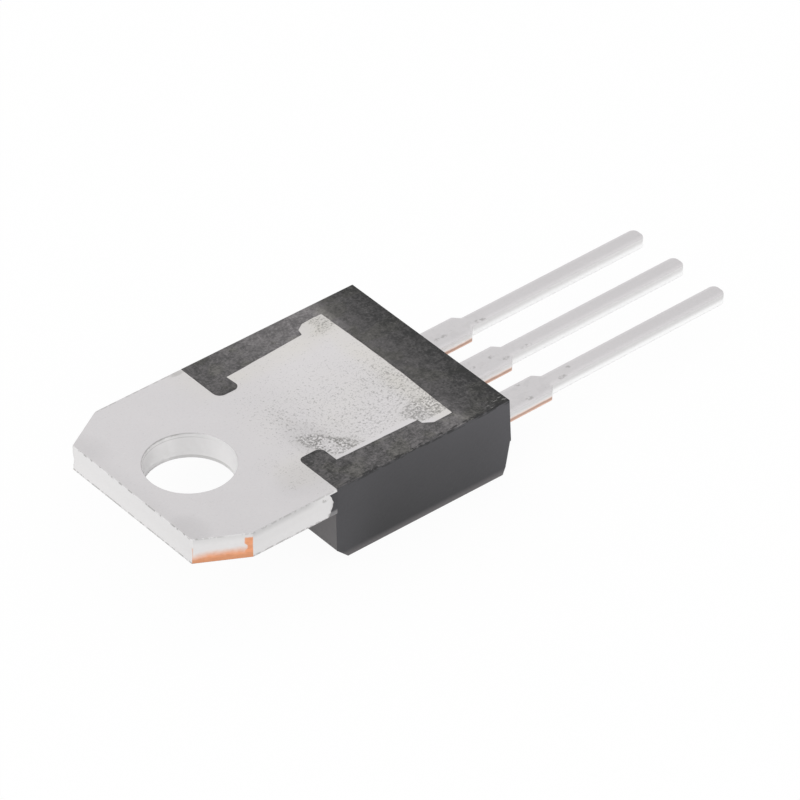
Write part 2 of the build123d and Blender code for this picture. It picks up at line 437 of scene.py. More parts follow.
def tin_plating(skin, finish, specks, shade):
    """Satin tin: its colour, roughness and relief.

    specks is how thick the dark specks lie. shade is the lightness of the flat faces, up to 1.
    """
    sheared = skin.wall(0.62, 0.40)
    cloud = skin.noise(0.45, 3.0, 0.6)
    grain = skin.noise(5.0, 3.0, 0.65)
    fine = skin.noise(9.5, 3.0, 0.6)
    tone = (cloud - 0.5) * 0.25 + (grain - 0.5) * (0.12 + specks * 0.6) + (fine - 0.5) * 0.25 + 0.5
    flat = skin.mix(tone, rgba(finish.tin, 0.96), rgba(finish.tin, 1.26))
    flat = skin.mix(1 - shade, flat, BLACK)
    yellowed = skin.scaled(flat, (0.99, 0.99, 0.93))
    flat = skin.mix(specks * (cloud - 0.3) * 1.6, flat, yellowed)
    tin = skin.mix(sheared, flat, rgba(finish.sheared_tin))

    darkness = specks.above(-0.10, 0.25) * (specks * 0.25 + 0.30)
    dust = skin.noise(13.0, 2.0, 0.5)
    coarse_specks = (fine * 0.6 + grain * 0.4 + specks * 0.20).above(0.63, 0.72)
    fine_specks = (dust * 0.75 + grain * 0.25 + specks * 0.12).above(0.60, 0.67) * 0.6
    speckled = coarse_specks.most(fine_specks) * darkness * (1 - sheared)
    glints = (fine * 0.6 + cloud * 0.4 - specks * 0.20).above(0.34, 0.27) * specks * 0.5
    scratches = skin.noise(1.6, 4.0, 0.7, stretch=(0.9, 9.0, 1.0)).above(0.60, 0.70) * 0.18
    tin = skin.mix(speckled, tin, rgba(finish.soot_and_shade))
    tin = skin.mix(glints, tin, rgba(finish.tin, 1.3))
    tin = skin.mix(scratches, tin, rgba(finish.tin, 1.3))
    roughness = 0.42 + (grain - 0.5) * 0.25 + sheared * 0.2 + speckled * 0.2
    relief = skin.bump(grain * 0.6 + fine * 0.4, 0.006)
    return tin, roughness, relief


def speck_cover(skin):
    """How thick dark specks lie on the bare metal: on the plate, and most by its near side."""
    x, y = skin.x, skin.y
    specks = 0.06 + x.above(2.0, 5.0) * (0.10 + y.above(3.0, -0.5) * 0.27)
    specks = specks + x.above(6.5, 9.5) * y.above(1.5, -1.0) * 0.10
    for centre, radii, turn, thick in SPECK_PATCHES:
        specks = specks + skin.patch(centre, radii, turn) * thick
    by_near_rim = (y + x.above(8.5, 8.8) * 0.5).above(-3.28, -3.44) * x.above(4.5, 4.8)
    clean = skin.patch((8.85, 3.90), (0.45, 0.45)).most(by_near_rim)
    return specks * (1 - clean * 0.85)


def tab_shade(skin, specks):
    """How light the flat metal is: the plate is lighter than the tab, and the rolled edges get
    painted shade.
    """
    x, y = skin.x, skin.y
    end_x = plate_low.x / MM
    on_plate = 0.03 + y.above(-1.5, 2.0) * 0.012 + y.above(-0.5, -2.5) * 0.02
    shade = 0.890 + y * 0.0030 - x.above(end_x + 0.9, end_x + 0.1) * 0.03
    shade = shade + x.above(4.6, 7.0) * on_plate - specks.above(0.42, 0.90) * 0.12
    for centre, radii, dark in STAINS:
        shade = shade - skin.patch(centre, radii) * dark
    lit_hole_rim = (x * x + y * y).above(5.0, 4.6) * (skin.ny - skin.nx).above(0.2, 0.9)
    # Painted shade on the rolled edges, left off the lit side of the hole's rim
    rolled = skin.nz.above(0.30, 0.45) * skin.nz.above(0.999, 0.97) * (1 - lit_hole_rim)
    return shade - rolled * 0.07


def warm_tint(skin, tin):
    """Tin that is a little yellow along the plate's far side and end, and by the near notch."""
    by_edges = skin.y.above(2.2, 3.2).most(skin.x.above(8.9, 9.7)) * skin.x.above(2.0, 4.0)
    by_notch = skin.patch((3.2, -3.2), (1.1, 0.9)) * 0.6
    cloudy = skin.noise(0.7, 2.0, 0.5) * 1.2 + 0.2
    warm = by_edges.most(by_notch) * cloudy * skin.nz.above(0.6, 0.9)
    return skin.mix(warm, tin, skin.scaled(tin, (1.0, 0.995, 0.955)))


def light_on_walls(skin, tin, finish, in_hole):
    """Painted light and shade on the cut faces: glare and shaded rim lines in the hole, and painted
    shade along the burnished top of the near side.
    """
    nx, ny, nz = skin.nx, skin.ny, skin.nz
    wall = skin.wall(0.6, 0.3)
    on_sides = 1 - in_hole
    shaded = in_hole * (0.07 + (nx + 0.6).above(-0.2, 0.6) * 0.04)
    shaded = (shaded + on_sides * ny.above(-0.80, -0.95) * 0.03) * wall
    tin = skin.mix(shaded, tin, BLACK)
    glare = (nx - ny).above(0.3, 1.3).most((ny - nx).above(0.0, 1.1) * 0.62)
    tin = skin.mix(glare * in_hole * wall * 0.95, tin, rgba((0.99, 0.98, 0.98)))

    # Painted shade in a band along the burnished top of the near side
    burnished_band_shade = skin.depth.above(0.42, 0.06) * nz.above(0.98, 0.9) * ny.above(-0.80, -0.95)
    tin = skin.mix(burnished_band_shade * skin.x.above(2.7, 1.9) * on_sides * 0.17, tin, BLACK)
    # Painted shade: two dark lines round the hole's rolled rim, on the side that faces away from
    # the lamp
    rim_shade_lines = skin.depth.near(0.03, 0.03, 0.01).most(skin.depth.near(0.19, 0.03, 0.01) * 0.6)
    rim_side = (skin.x * 0.775 - skin.y * 0.632).above(1.2, -0.4) * nz.above(0.999, 0.98)
    return skin.mix(rim_shade_lines * rim_side * in_hole * 0.35, tin, rgba(finish.soot_and_shade))


def edge_dirt_and_shade(skin, in_hole, thickness):
    """Broken lines of grime along the tab's top edges and by the flash, dark lines low in the hole,
    a painted shadow of the burr along the foot of the cut faces, and grime with painted shade on
    the metal under the flash.
    """
    x, y, depth = skin.x, skin.y, skin.depth
    nx, ny, nz = skin.nx, skin.ny, skin.nz
    end_x = plate_low.x / MM
    ragged = skin.noise(2.5, 3.0, 0.6) - 0.5
    ticks = skin.noise(5.0, 2.0, 0.6) - 0.5
    off_flat = nz.above(0.999, 0.98)
    near_side = ny.above(-0.7, -0.9)
    steep = skin.wall(0.9, 0.6)

    at_end = nx.above(-0.10, -0.20) * x.above(end_x + 0.3, end_x + 0.2)
    end_line = (ragged * 1.2 + ticks * 0.3).above(0.0, 0.12)
    end_line = end_line * depth.above(0.085, 0.045) * off_flat * at_end * 0.5
    far_line = y.above(4.89, 4.95) * (ragged + ticks * 0.4).above(-0.04, 0.05) * (1 - at_end)
    far_line = far_line.most(skin.patch((3.15, 4.86), (0.28, 0.12))) * nz.above(0.3, 0.6) * 0.30
    near_line = (ragged + ticks * 0.6).above(-0.10, 0.08) * x.above(3.4, 3.2)
    near_line = near_line * depth.above(0.12, 0.03) * off_flat * near_side * 0.30

    # Painted shadow of the burr: a broken dark line along the foot of the cut faces
    at_bottom = depth.above(thickness - 0.10, thickness - 0.05)
    low_line = at_bottom * (ragged * 0.4 + ticks).above(-0.12, 0.06) * steep * 0.4
    hole_line = depth.near(1.15, 0.08, 0.03) * (ny * -0.6 - nx * 0.8).above(0.5, 0.9)
    hole_line = hole_line.most(at_bottom * 0.7) * steep * 0.26
    low_line = low_line * (1 - in_hole) + hole_line * in_hole
    by_flash = x.near(2.85, 0.18, 0.08) * ticks.above(0.0, 0.06) * depth.above(0.42, 0.30)
    # Grime and painted shade on the metal's side under the flash
    under_flash = x.above(2.95, 3.10) * depth.above(1.02, 1.08) * 0.6
    return end_line.most(low_line, under_flash, by_flash * near_side * 0.35, far_line, near_line)


def bare_copper(skin, finish, tab):
    """Where the cut corners show their copper, and the colour of that copper."""
    thickness = tab.thickness / MM
    ragged = skin.noise(2.5, 3.0, 0.6) - 0.5
    cut_face = skin.nx.above(-0.85, -0.75) * skin.nx.above(-0.25, -0.35)
    cut_face = cut_face * abs(skin.y).above(3.70, 3.78)
    along = (skin.x - plate_low.x / MM) / (tab.near_cut_x / MM)
    torn_from = along.above(0.35, 0.0) * 0.12 + thickness * 0.60
    torn = (skin.depth - torn_from + ragged * 0.15).above(-0.14, 0.30)
    waist = skin.depth.near(thickness * 0.58, 0.22, 0.05)
    end_block = (along - waist * 0.05).above(0.85, 0.88)
    end_block = end_block * (skin.depth + ragged * 0.2).above(0.16, 0.26)
    start_line = along.above(0.045, 0.025) * skin.depth.above(0.40, 0.55) * 0.5
    streaks = skin.noise(2.0, 3.0, 0.7, stretch=(1.0, 1.0, 4.0))
    deep = (streaks + skin.depth.above(0.9, 1.2) * 0.3).above(0.40, 0.75)
    copper = skin.mix(deep, rgba(finish.copper, 1.06), rgba(finish.copper, 0.90))
    return cut_face * torn.most(end_block, start_line), copper


def tab_finish(finish, tab):
    """Tin on the tab, with grime and painted shade on its edges and bare copper where its corners
    were cut.
    """
    skin = Skin("tinned_tab")
    hole_radius = tab.hole_radius / MM
    from_hole = skin.x * skin.x + skin.y * skin.y
    in_hole = from_hole.above((hole_radius + 0.3) ** 2, (hole_radius + 0.2) ** 2)
    specks = speck_cover(skin)
    tin, roughness, relief = tin_plating(skin, finish, specks, tab_shade(skin, specks))
    tin = warm_tint(skin, tin)
    tin = light_on_walls(skin, tin, finish, in_hole)
    # Grime along the edges, with painted shade under the burr and the flash
    dirt_and_shade = edge_dirt_and_shade(skin, in_hole, tab.thickness / MM)
    tin = skin.mix(dirt_and_shade, tin, rgba(finish.soot_and_shade, 2.2))
    bare, copper = bare_copper(skin, finish, tab)
    metal = skin.mix(bare, tin, copper)
    return skin.finished(Base_Color=metal, Roughness=roughness, Metallic=1.0, Normal=relief)


def lead_shade(skin, lead, mottled):
    """How light the flat faces of the leads are, with painted highlights along both long edges."""
    shoulder = lead.shoulder_x / MM
    half_pitch = lead.pitch / MM / 2
    from_middle = skin.y.math("WRAP", skin.y, half_pitch, -half_pitch)
    half_width = skin.x.above(shoulder + 0.3, shoulder) * 0.29 + lead.narrow / MM / 2
    shade = 0.845 - skin.x.above(shoulder + 1.0, shoulder + 7.0) * 0.015 - mottled * 0.035
    # Painted highlights along both long edges, where the rolled edges catch the light
    shade = shade + (from_middle - half_width).above(-0.22, 0.0) * 0.11
    return shade + (from_middle + half_width).above(0.26, 0.0) * 0.10


def light_on_lead_sides(skin, tin, below_top):
    """The upright sides of the leads, which pass from the top's tone to white on their way down: a
    painted reflection of the white floor, with painted shade just below the top.
    """
    side = skin.wall(0.80, 0.40)
    tin = skin.mix(below_top.above(0.13, 0.40) * side * 0.97, tin, WHITE)
    # Painted shade just below the top of the sides
    side_top_shade = 0.055 + skin.y.above(-1.0, -2.0) * 0.045
    return skin.mix(below_top.above(0.38, 0.14) * side * side_top_shade, tin, BLACK)


def cut_copper(skin, finish, height, root):
    """Where the lower edges of the roots show their copper, and the colour of that copper."""
    ragged = skin.noise(3.0, 2.0, 0.5) - 0.5
    height = height + ragged * 0.06
    shown = height.above(0.27, 0.09) * abs(skin.ny).above(0.4, 0.6) * root
    copper = skin.mix(ragged + 0.5, rgba(finish.copper, 0.92), rgba(finish.copper, 1.18))
    copper = skin.mix(0.42, copper, rgba(finish.sheared_tin))
    return shown, skin.mix(height.near(0.10, 0.08, 0.02) * 0.32, copper, BLACK)


def lead_finish(finish, lead):
    """Tin on the leads, with a few pits, and bare copper along the cut sides of the roots."""
    skin = Skin("tinned_leads")
    shoulder = lead.shoulder_x / MM
    mottled = skin.noise(2.2, 3.0, 0.6).above(0.50, 0.62) * skin.x.above(shoulder + 2.0, shoulder)
    shade = lead_shade(skin, lead, mottled)
    tin, roughness, relief = tin_plating(skin, finish, mottled * 0.06 + 0.03, shade)
    patches = [skin.patch(centre, radii) for centre, radii in LEAD_PITS]
    pits = sum(patches) * skin.noise(6.0, 3.0, 0.6).above(0.40, 0.62) * skin.nz.above(0.7, 0.9)
    tin = skin.mix(pits * 0.45, tin, rgba(finish.soot_and_shade, 1.8))
    risen_by = (skin.x - lead.rise_start_x / MM) * lead.rise
    tin = light_on_lead_sides(skin, tin, risen_by + gate_high.z / MM - skin.z)
    root = skin.x.above(shoulder + 0.12, shoulder + 0.05)
    shown, copper = cut_copper(skin, finish, skin.z - risen_by - gate_low.z / MM, root)
    metal = skin.mix(shown, tin, copper)
    return skin.finished(Base_Color=metal, Roughness=roughness, Metallic=1.0, Normal=relief)


def eroded_back(skin, finish, cloud, blot, grain):
    """The textured back of the moulding, paler in the strips beside the plate."""
    x, y = skin.x, skin.y
    flecks = skin.noise(7.0, 2.0, 0.5, stretch=(1.0, 0.55, 1.0)).above(0.60, 0.68)
    beside_plate = abs(y).above(2.4, 3.6) * x.above(10.7, 9.9)
    lead_strip = x.above(10.0, 10.4)
    far = y.above(-1.0, 1.0)
    spread = 1.0 - lead_strip * (0.30 - y.above(-1.0, -3.0) * 0.15) - beside_plate * far * 0.12
    tone = (grain * 0.55 + blot * 0.45 + (cloud - 0.5) * 0.25).above(0.36, 0.68)
    tone = (tone - 0.5) * spread + 0.5 + flecks * 0.30
    tone = tone + lead_strip * ((11.2 - x) * 0.30 - y.above(1.5, -4.0) * 0.11)
    back = skin.mix(tone, rgba(finish.moulding_back), rgba(finish.moulding_grain))
    pale = skin.mix(tone, rgba(finish.moulding_pale, 0.55), rgba(finish.moulding_pale, 1.45))
    side_paleness = 0.48 + far * 0.49 + y.above(-4.0, -4.6) * 0.10
    back = skin.mix(beside_plate * ((x - 5.0) * 0.105 + 0.31) * side_paleness, back, pale)
    olive = skin.noise(0.8, 2.0, 0.5).above(0.52, 0.62) * 0.8
    return skin.mix(olive, back, skin.scaled(back, (0.985, 1.0, 0.92)))


def drafted_sides(skin, finish, cloud, grain):
    """The smoother sides of the moulding, paler under the tab, with painted light that grows
    lighter higher up and a painted reflection of the floor low down by it.
    """
    x, z = skin.x, skin.z
    low_z = body_low.z / MM
    above_middle = z + 2.0
    # Painted light: the tone grows lighter higher up the sides
    tone = (cloud - 0.5) * 0.15 + (grain - 0.5) * 0.1 + (x - 8.0) * 0.06 + above_middle * 0.12
    tone = tone + x.above(6.8, 3.3) * (0.48 - above_middle * 0.14) + x.above(10.5, 13.0) * 0.12
    sides = skin.mix(tone + 0.5, rgba(finish.moulding, 0.20), rgba(finish.moulding, 1.80))
    sides = skin.mix(skin.nx.above(-0.4, -0.8), sides, rgba(finish.tab_face))
    # Painted reflection of the white floor: a paler band along the low edge
    low_edge = z.above(low_z + 0.50, low_z + 0.08) * skin.nz.above(-0.95, -0.85)
    sides = skin.mix(low_edge * 0.85, sides, rgba(finish.moulding_pale, 0.70))
    flash_foot = x.above(3.55, 3.45) * z.above(-0.95, -1.10) * skin.ny.above(0.5, -0.5)
    return skin.mix(flash_foot * 0.6, sides, rgba(finish.tin, 0.5))


def broken_edges(skin, finish, moulding):
    """Pits along the near edge of the back, and chips at its corner by the leads."""
    x, y, z = skin.x, skin.y, skin.z
    near_y = -body_high.y / MM
    near_edge = y.above(near_y + 0.19, near_y + 0.13) * z.above(-0.16, -0.10)
    broken = skin.noise(2.2, 3.0, 0.7, stretch=(1.0, 3.0, 3.0)) + x.above(8.0, 10.5) * 0.03
    pits = near_edge * broken.above(0.50, 0.55) * x.above(3.0, 5.0)
    moulding = skin.mix(pits * 0.8, moulding, rgba(finish.moulding_pit))
    chips = skin.noise(3.0, 2.0, 0.6, stretch=(0.8, 5.0, 2.0)).above(0.60, 0.64)
    corner = skin.patch((11.95, -4.75), (0.55, 0.30), 0.3) * z.above(-0.10, -0.05)
    return skin.mix(chips * corner * 0.5, moulding, rgba(finish.moulding_chip))


def moulding_finish(finish):
    """Black filled epoxy: an eroded, speckled back and smoother drafted sides."""
    skin = Skin("moulding_compound")
    on_back = skin.nz.above(0.6, 0.9)
    cloud = skin.noise(0.5, 3.0, 0.6)
    blot = skin.noise(2.6, 3.0, 0.65)
    grain = skin.noise(8.5, 3.0, 0.7)
    back = eroded_back(skin, finish, cloud, blot, grain)
    sides = drafted_sides(skin, finish, cloud, grain)
    moulding = broken_edges(skin, finish, skin.mix(on_back, sides, back))
    height = (grain * 0.5 + blot * 0.5) * (on_back * 0.75 + 0.25)
    return skin.finished(
        Base_Color=moulding,
        Roughness=0.52 + on_back * 0.16 + (grain - 0.5) * 0.15,
        Specular_IOR_Level=0.35,
        Normal=skin.bump(height, 0.04),
    )


def plain_finish(name, rgb, metallic, roughness, grain_per_mm):
    """A sealed-in surface: one colour with a fine grain."""
    skin = Skin(name)
    grain = skin.noise(grain_per_mm, 3.0, 0.6)
    return skin.finished(
        Base_Color=skin.mix(grain, rgba(rgb, 0.85), rgba(rgb, 1.15)),
        Roughness=(grain - 0.5) * 0.2 + roughness,
        Metallic=metallic,
        Normal=skin.bump(grain, 0.005),
    )


# Outlines and stamped metal ---------------------------------------------------------------


# Waves of a ragged edge in each millimetre, and the height of the burr at a cut face's foot
WAVES_PER_MM = 2.2
BURR = 0.03 * MM

# Cosine of half the sharpest turn whose mitre is followed. Beyond it, corners move less far.
SHARPEST_MITRE = 0.6


def rounded(corners, steps=6):
    """A closed outline through corners (x, y, radius), each rounded by its radius."""
    outline = []
    for i, (x, y, radius) in enumerate(corners):
        corner = Vector((x, y))
        if not radius:
            outline.append(corner)
            continue
        back = (Vector(corners[i - 1][:2]) - corner).normalized()
        ahead = (Vector(corners[(i + 1) % len(corners)][:2]) - corner).normalized()
        half = back.angle(ahead) / 2
        reach = radius / math.tan(half)
        centre = corner + (back + ahead).normalized() * (radius / math.sin(half))
        first = corner + back * reach - centre
        last = corner + ahead * reach - centre
        for step in range(steps + 1):
            spoke = first.lerp(last, step / steps).normalized() * radius
            outline.append(centre + spoke)
    return outline


def divided(outline, guide=None):
    """The same closed outline, cut so that the sides of guide get no longer than SPACING."""
    guide = guide or outline
    fine = []
    for i, here in enumerate(outline):
        j = (i + 1) % len(outline)
        parts = max(1, math.ceil((guide[j] - guide[i]).length / SPACING))
        fine += [here.lerp(outline[j], part / parts) for part in range(parts)]
    return fine


def moved_in(outline, inset, ragged=0.0, depth=0.0):
    """The outline moved by inset into the metal, which lies on its left.

    The inset wavers by up to ragged, in waves that change with the depth.
    """
    moved = []
    for i, here in enumerate(outline):
        before = (here - outline[i - 1]).normalized()
        after = (outline[(i + 1) % len(outline)] - here).normalized()
        side = Vector((-before.y, before.x))
        middle = (side + Vector((-after.y, after.x))).normalized()
        wave = noise.noise(Vector((here.x, here.y, depth)) * (WAVES_PER_MM / MM))
        reach = (inset + ragged * wave) / max(SHARPEST_MITRE, middle.dot(side))
        moved.append(here + middle * reach)
    return moved


def edge_rings(outline, edge, free=None):
    """The rings of points down the edge of a sheet, where edge lists (depth, inset, ragged).

    The edge is only shaped where free(point) is true, and drops straight down elsewhere.
    """
    rings = []
    for depth, inset, ragged in edge:
        ring = []
        for here, moved in zip(outline, moved_in(outline, inset, ragged, depth)):
            place = moved if free is None or free(here) else here
            ring.append(Vector((place.x, place.y, -depth)))
        rings.append(ring)
    return rings


def sheared_edge(thickness, roll, roll_depth, burnished, tear, roll_steps=6, tear_steps=8):
    """Edge of a stamped sheet as (depth, inset, ragged): rolled over, burnished and torn.

    roll is how far the rolled edge reaches into the face and roll_depth how far down it. The
    tear starts at the depth burnished, and stands back by as much as tear.
    """
    edge = []
    for step in range(roll_steps + 1):
        turn = math.pi / 2 * step / roll_steps
        edge.append((roll_depth * (1 - math.cos(turn)), roll * (1 - math.sin(turn)), 0))
    torn_end = thickness - BURR
    for step in range(tear_steps):
        part = step / tear_steps
        hollow = (1 - math.cos(2 * math.pi * part)) / 2 * tear
        edge.append((burnished + (torn_end - burnished) * part, hollow, 0.5 * hollow))
    return edge + [(torn_end, 0, 0), (thickness, 0, 0)]


def cap(mesh, rings, direction):
    """Fills the flat face between rings of points."""
    edges = []
    for ring in rings:
        for i, point in enumerate(ring):
            edges.append(mesh.edges.get((point, ring[(i + 1) % len(ring)])))
    filled = bmesh.ops.triangle_fill(mesh, use_beauty=True, edges=edges, normal=direction)
    for face in filled["geom"]:
        if isinstance(face, bmesh.types.BMFace) and face.normal.dot(direction) < 0:
            face.normal_flip()


def stamp(mesh, cuts, bend=None):
    """Adds a stamped sheet to a mesh, from the rings of points down each of its cut edges.

    The sheet is made flat. bend then says where each of its points goes.
    """
    stacks = [[[mesh.verts.new(point) for point in ring] for ring in rings] for rings in cuts]
    for stack in stacks:
        for upper, lower in zip(stack, stack[1:]):
            for i in range(len(upper)):
                j = (i + 1) % len(upper)
                wall = mesh.faces.new((upper[i], lower[i], lower[j], upper[j]))
                wall.smooth = True
    mesh.normal_update()
    cap(mesh, [stack[0] for stack in stacks], UP)
    cap(mesh, [stack[-1] for stack in stacks], -UP)
    if bend:
        for stack in stacks:
            for ring in stack:
                for point in ring:
                    point.co = bend(point.co)
    bmesh.ops.remove_doubles(mesh, verts=mesh.verts[:], dist=0.1 * HAIR)


def show(mesh, name, node, material):
    """Turns a finished mesh into the piece that stands for a node of the packed model."""
    data = bpy.data.meshes.new(name)
    mesh.to_mesh(data)
    mesh.free()
    piece = bpy.data.objects.new(name, data)
    bpy.context.scene.collection.objects.link(piece)
    data.materials.append(material)
    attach(piece, "root")
    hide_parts(node)
    return piece


# Lead strips ------------------------------------------------------------------------------


def lead_corners(lead, middle_y, start_x, end_x):
    """Corners of a lead in plan, without a bond pad, counter-clockwise."""
    wide, narrow = lead.wide / 2, lead.narrow / 2
    narrow_x = lead.shoulder_x + wide - narrow
    near = [
        (start_x, middle_y - wide, 0),
        (lead.shoulder_x, middle_y - wide, lead.shoulder_radius),
        (narrow_x, middle_y - narrow, lead.shoulder_radius),
        (end_x, middle_y - narrow, lead.tip_radius),
    ]
    far = [(x, 2 * middle_y - y, radius) for x, y, radius in reversed(near)]
    return near + far


def lead_edge(lead):
    """The sheared edge of a lead."""
    return sheared_edge(lead.thickness, lead.edge_roll, lead.edge_roll, lead.burnished, lead.tear)


def risen(lead, point):
    """Where a point of a straight lead goes once the lead rises a little beyond the body."""
    beyond = max(0.0, point.x - lead.rise_start_x)
    return point + UP * lead.rise * beyond


# Heatsink tab -----------------------------------------------------------------------------


# Corners of the bare metal on each side, from the notch to the plate's end: how far along and
# across from the hole's centre, and the rounding, in mm
NEAR_FOOT = (
    (4.62, 3.54, 0.00),
    (8.70, 3.63, 0.04),
    (8.72, 3.89, 0.07),
    (9.13, 4.16, 0.15),
    (10.09, 4.14, 0.07),
    (10.13, 2.38, 0.30),
)
FAR_FOOT = (
    (4.54, 3.42, 0.00),
    (8.64, 3.68, 0.05),
    (8.72, 4.01, 0.10),
    (9.10, 4.24, 0.20),
    (9.70, 4.28, 0.30),
    (10.14, 4.26, 0.05),
)


def bare_metal_corners(tab):
    """Corners of the metal that shows on the back, counter-clockwise from the tab's end."""

    def one_side(cut_x, cut_y, cut_radius, notch_radius, foot):
        return [
            (plate_low.x, cut_y - tab.half_width, 0),
            (plate_low.x + cut_x, -tab.half_width, cut_radius),
            (tab.notch_start_x, -tab.half_width, 0),
            (tab.notch_start_x, -tab.neck_half_width, notch_radius),
            (tab.notch_end_x, -tab.neck_half_width, tab.notch_back_radius),
            *((x * MM, -y * MM, radius * MM) for x, y, radius in foot),
        ]

    near = one_side(
        tab.near_cut_x, tab.near_cut_y, tab.near_cut_radius, tab.near_notch_radius, NEAR_FOOT
    )
    far = one_side(
        tab.far_cut_x, tab.far_cut_y, tab.far_cut_radius, tab.far_notch_radius, FAR_FOOT
    )
    ends = (tab.plate_end_near_y, tab.plate_end_far_y)
    middle = [(tab.plate_end_x, y, tab.plate_end_radius) for y in ends]
    return near + middle + [(x, -y, radius) for x, y, radius in reversed(far)]


def hole_outline(tab, steps=96):
    """The mounting hole, clockwise, so that the metal lies on its left."""
    turns = [-2 * math.pi * step / steps for step in range(steps)]
    return [Vector((math.cos(turn), math.sin(turn))) * tab.hole_radius for turn in turns]


def buried_metal(tab, bare):
    """The outline below the lips, where the plate reaches out past the sides of the bare metal."""
    outline = []
    for point in bare:
        beside = point.x > tab.notch_start_x and abs(point.y) > 1.2 * tab.neck_half_width
        y = math.copysign(tab.buried_half_width, point.y) if beside else point.y
        outline.append(Vector((point.x, y)))
    return outline


def plate_cuts(tab):
    """The rings of points round the plate, which widens below its lips, and round its hole."""
    bare = rounded(bare_metal_corners(tab))
    buried = divided(buried_metal(tab, bare), guide=bare)
    bare = divided(bare)
    edge = sheared_edge(tab.thickness, tab.edge_roll, tab.roll_depth, tab.burnished, tab.tear)
    upper = [(tab.metal_drop, *edge[0][1:])]
    upper += [place for place in edge[1:] if place[0] < tab.lip_depth]
    lip = (tab.lip_depth, *upper[-1][1:])
    upper.append(lip)
    lower = [lip] + [place for place in edge if place[0] > tab.lip_depth]

    def free(point):
        return point.x <= tab.notch_start_x + HAIR

    outside = edge_rings(bare, upper, free) + edge_rings(buried, lower, free)
    hole_edge = sheared_edge(
        tab.thickness, tab.hole_roll, tab.hole_roll_depth, tab.hole_burnished, tab.hole_tear
    )
    hole_edge = [(depth, inset - tab.hole_shrink, ragged) for depth, inset, ragged in hole_edge]
    hole_edge[0] = (tab.metal_drop, *hole_edge[0][1:])
    return [outside, edge_rings(hole_outline(tab), hole_edge)]


def bent_strip(tab, lead):
    """How the middle lead bends down from the plate.

    Returns where its middle line starts, as x and height, where the flat strip starts along X,
    and the (length, turn) of each stretch on the way to its tip.
    """
    start_z = lead.thickness / 2 - tab.thickness
    level_z = gate_high.z - lead.thickness / 2
    drop = start_z - level_z
    reach = lead.neck_radius * math.tan(lead.neck_slope / 2)
    arc = lead.neck_radius * lead.neck_slope
    slope = drop / math.sin(lead.neck_slope) - 2 * reach
    root_x = tab.plate_end_x - lead.root_overlap
    straight_x = lead.neck_start_x + drop / math.tan(lead.neck_slope) + reach
    way = [
        (lead.neck_start_x - reach - root_x, 0),
        (arc, -lead.neck_slope),
        (slope, 0),
        (arc, lead.neck_slope),
        (math.inf, 0),
    ]
    flat_start = straight_x - sum(run for run, _ in way[:-1])
    return Vector((root_x, start_z)), flat_start, way


def strip_bend(tab, lead):
    """Returns the function that bends the flat middle lead, and where the flat lead starts."""
    root, flat_start, way = bent_strip(tab, lead)

    def bend(point):
        left = point.x - flat_start
        height = lead.thickness / 2 + point.z
        here = root.copy()
        heading = 0.0
        for run, turn in way:
            part = min(max(left, 0.0), run)
            if turn:
                rate = turn / run
                here.x += (math.sin(heading + rate * part) - math.sin(heading)) / rate
                here.y += (math.cos(heading) - math.cos(heading + rate * part)) / rate
                heading += rate * part
            else:
                here += Vector((math.cos(heading), math.sin(heading))) * part
            left -= part
        here += Vector((-math.sin(heading), math.cos(heading))) * height
        return risen(lead, Vector((here.x, point.y, here.y)))

    return bend, flat_start


def paint_lead_faces(piece, material):
    """Gives the faces of the middle lead the leads' own finish."""
    piece.data.materials.append(material)
    # Halfway down the piece is the neck, which is sealed in, so the change doesn't show
    change_z = plate_low.z / 2
    for face in piece.data.polygons:
        if face.center.z < change_z:
            face.material_index = 1


class TRIAC_OT_tab(bpy.types.Operator):
    """Build the tinned heatsink tab with its buried plate and the middle lead"""

    bl_idname = "triac.tab"
    bl_label = "Heatsink tab"

    def execute(self, context):
        tab = context.scene.triac_tab
        lead = context.scene.triac_lead
        finish = context.scene.triac_finish
        mesh = bmesh.new()
        stamp(mesh, plate_cuts(tab))
        bend, flat_start = strip_bend(tab, lead)
        strip = divided(rounded(lead_corners(lead, 0.0, flat_start, lead.tip_x)))
        stamp(mesh, [edge_rings(strip, lead_edge(lead))], bend)
        piece = show(
            mesh, "tinned_heatsink_tab", "heatsink_tab", tab_finish(finish, tab)
        )
        paint_lead_faces(piece, lead_finish(finish, lead))
        return {"FINISHED"}


# Outer leads ------------------------------------------------------------------------------


class TRIAC_OT_outer_leads(bpy.types.Operator):
    """Build the two outer leads, from their bond pads to their tips"""

    bl_idname = "triac.outer_leads"
    bl_label = "Outer leads"

    def execute(self, context):
        lead = context.scene.triac_lead
        material = lead_finish(context.scene.triac_finish, lead)
        top_z = gate_high.z
        outer = (
            ("terminal_1_lead", 1, terminal_low, terminal_high),
            ("gate_lead", -1, gate_low, gate_high),
        )
        for node, side, low, high in outer:
            middle_y = side * lead.pitch
            corners = lead_corners(lead, middle_y, lead.pad_end_x, lead.tip_x)
            radius = lead.pad_corner_radius
            pad = [
                (lead.pad_end_x, high.y, radius),
                (low.x, high.y, radius),
                (low.x, low.y, radius),
                (lead.pad_end_x, low.y, radius),
            ]
            outline = divided(rounded(corners + pad))
            mesh = bmesh.new()
            stamp(
                mesh,
                [edge_rings(outline, lead_edge(lead))],
                lambda point: risen(lead, point + UP * top_z),
            )
            show(mesh, "tinned_" + node, node, material)
        return {"FINISHED"}


# Moulded body -----------------------------------------------------------------------------


